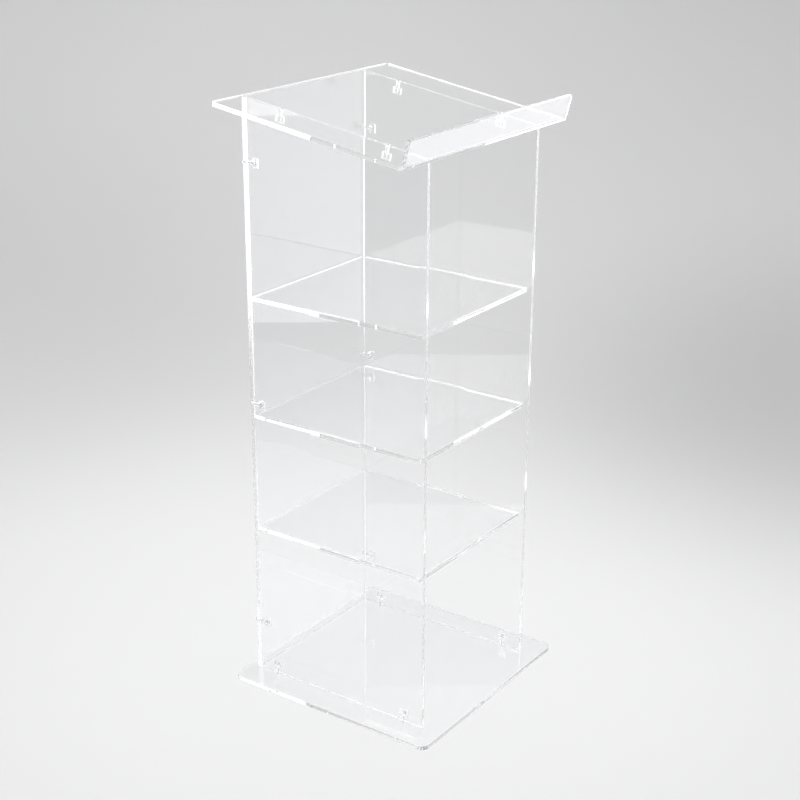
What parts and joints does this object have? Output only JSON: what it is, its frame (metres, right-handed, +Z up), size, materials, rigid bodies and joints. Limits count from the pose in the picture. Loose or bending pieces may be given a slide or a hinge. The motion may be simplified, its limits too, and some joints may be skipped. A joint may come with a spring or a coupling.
{
  "type": "lectern stand",
  "caption": "Free-standing clear acrylic lectern: sloping reading top with an upturned book lip, on a shelved column open to the speaker, on a wide flat base.",
  "frame": {"origin": "centre of the base plate's underside, on the floor", "axes": "+Z up; +Y towards the audience, so the speaker stands on the -Y side, where the column is open and the book lip stands; +X to the speaker's right"},
  "size_m": [0.54, 0.476, 1.2002],
  "materials": {
    "acrylic": "clear cast acrylic sheet with polished faces and edges",
    "clear_fastener": "clear moulded plastic screws and nuts"
  },
  "bodies": {
    "root": {"base_plate": "acrylic", "side_panel_left": "acrylic", "side_panel_right": "acrylic", "audience_panel": "acrylic", "shelf_lower": "acrylic", "shelf_middle": "acrylic", "shelf_upper": "acrylic", "reading_top": "acrylic", "top_screws": "clear_fastener", "base_screws": "clear_fastener", "rear_screws": "clear_fastener", "top_nuts": "clear_fastener", "base_nuts": "clear_fastener", "rear_nuts": "clear_fastener"}
  },
  "joints": []
}
